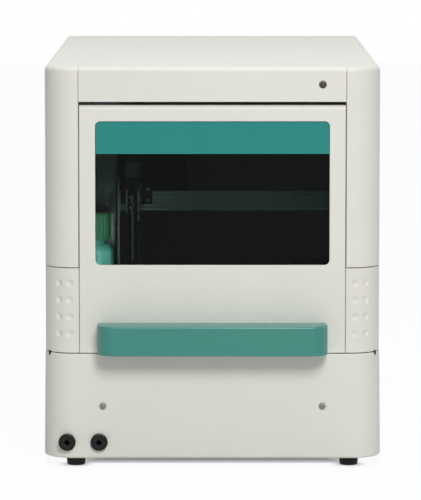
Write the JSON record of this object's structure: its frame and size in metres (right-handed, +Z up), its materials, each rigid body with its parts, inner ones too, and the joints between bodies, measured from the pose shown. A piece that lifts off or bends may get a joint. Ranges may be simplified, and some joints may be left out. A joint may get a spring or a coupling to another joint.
{
  "type": "autosampler",
  "caption": "Benchtop autosampler with a lift-up windowed door, bar handle, cooled sample tray, needle drive, wash bottle, syringe and injection valve.",
  "frame": {"origin": "middle of the whole box, on the surface that the four feet stand on", "axes": "+X to the right as seen from the front, +Y from the front to the rear, +Z up"},
  "size_m": [0.303, 0.573, 0.36],
  "materials": {
    "case_grey": "satin warm grey moulded or coated case surface, fine texture",
    "trim_teal": "satin green-blue plastic",
    "window_glass": "dark green-tinted glossy pane",
    "rubber_black": "matte black rubber",
    "nozzle_black": "black plastic, slight sheen",
    "status_lens": "dark grey lens, unlit",
    "zinc_sheet": "zinc-plated sheet steel",
    "bright_steel": "bright turned steel",
    "aluminium": "satin anodised aluminium",
    "motor_black": "matte black coating",
    "chamber_white": "white moulded lining",
    "rack_blue_grey": "blue-grey plastic",
    "bottle_teal": "green glass",
    "cap_green": "dark green plastic",
    "clear_tube": "clear tube",
    "syringe_glass": "clear glass",
    "resin_white": "white technical plastic",
    "board_green": "green circuit board",
    "connector_black": "black plastic"
  },
  "bodies": {
    "case": {"base_pan": "zinc_sheet", "case_cover": "case_grey", "rear_panel": "case_grey", "left_column": "case_grey", "right_column": "case_grey", "header_panel": "case_grey", "status_light": "status_lens", "lower_panel": "case_grey", "panel_screw_left": "bright_steel", "panel_screw_right": "bright_steel", "drain_nozzle_left": "nozzle_black", "drain_nozzle_right": "nozzle_black", "foot_front_left": "rubber_black", "foot_front_right": "rubber_black", "foot_rear_left": "rubber_black", "foot_rear_right": "rubber_black", "door_bumper_left": "rubber_black", "door_bumper_right": "rubber_black", "side_plate_left": "zinc_sheet", "side_plate_right": "zinc_sheet", "sample_chamber": "chamber_white", "x_rail": "aluminium", "x_motor": "motor_black", "needle_port_block": "resin_white", "fluidics_panel": "zinc_sheet", "wash_bottle": "bottle_teal", "bottle_cap": "cap_green", "wash_tube": "clear_tube", "syringe_drive": "resin_white", "syringe_barrel": "syringe_glass", "injection_valve": "motor_black", "sample_loop": "bright_steel", "heat_sink": "aluminium", "fan_frame": "connector_black", "mains_inlet": "connector_black", "network_port": "bright_steel", "power_supply": "zinc_sheet", "control_board": "board_green"},
    "door": {"door_panel": "case_grey", "door_window": "window_glass", "window_band": "trim_teal", "door_handle": "trim_teal", "door_grip_left": "case_grey", "door_grip_right": "case_grey", "hinge_pin_left": "bright_steel", "hinge_pin_right": "bright_steel"},
    "tray": {"tray_carrier": "zinc_sheet", "sample_rack_left": "rack_blue_grey", "sample_rack_right": "rack_blue_grey"},
    "carriage": {"x_carriage": "motor_black", "z_motor": "motor_black"},
    "needle_slide": {"z_slider": "aluminium", "needle": "bright_steel"},
    "syringe_plunger": {"plunger": "bright_steel"},
    "syringe_valve": {"syringe_valve_rotor": "resin_white"},
    "injection_rotor": {"injection_valve_rotor": "bright_steel"},
    "fan": {"fan_rotor": "connector_black"},
    "switch_rocker": {"power_switch": "connector_black"}
  },
  "joints": [
    {"name": "door_hinge", "type": "hinge", "parent": "case", "child": "door", "pos_m": [0, -0.2485, 0.317], "axis": [-1, 0, 0], "range_deg": [0, 95]},
    {"name": "tray_slide", "type": "slide", "parent": "case", "child": "tray", "axis": [0, 1, 0], "range_m": [0, 0.09]},
    {"name": "needle_x", "type": "slide", "parent": "case", "child": "carriage", "axis": [1, 0, 0], "range_m": [0, 0.16195]},
    {"name": "needle_z", "type": "slide", "parent": "carriage", "child": "needle_slide", "axis": [0, 0, -1], "range_m": [0, 0.045]},
    {"name": "plunger_slide", "type": "slide", "parent": "case", "child": "syringe_plunger", "axis": [0, 0, -1], "range_m": [0, 0.025]},
    {"name": "syringe_valve_turn", "type": "hinge", "parent": "case", "child": "syringe_valve", "pos_m": [-0.127, -0.2268, 0.322], "axis": [0, -1, 0], "range_deg": [0, 120]},
    {"name": "injection_valve_turn", "type": "hinge", "parent": "case", "child": "injection_rotor", "pos_m": [0.1278, -0.178, 0.166], "axis": [0, 1, 0], "range_deg": [0, 60]},
    {"name": "fan_spin", "type": "hinge", "parent": "case", "child": "fan", "pos_m": [-0.06, 0.27, 0.225], "axis": [0, 1, 0], "continuous": true},
    {"name": "switch_rock", "type": "hinge", "parent": "case", "child": "switch_rocker", "pos_m": [0.1165, 0.28, 0.12], "axis": [1, 0, 0], "range_deg": [0, 16]}
  ]
}
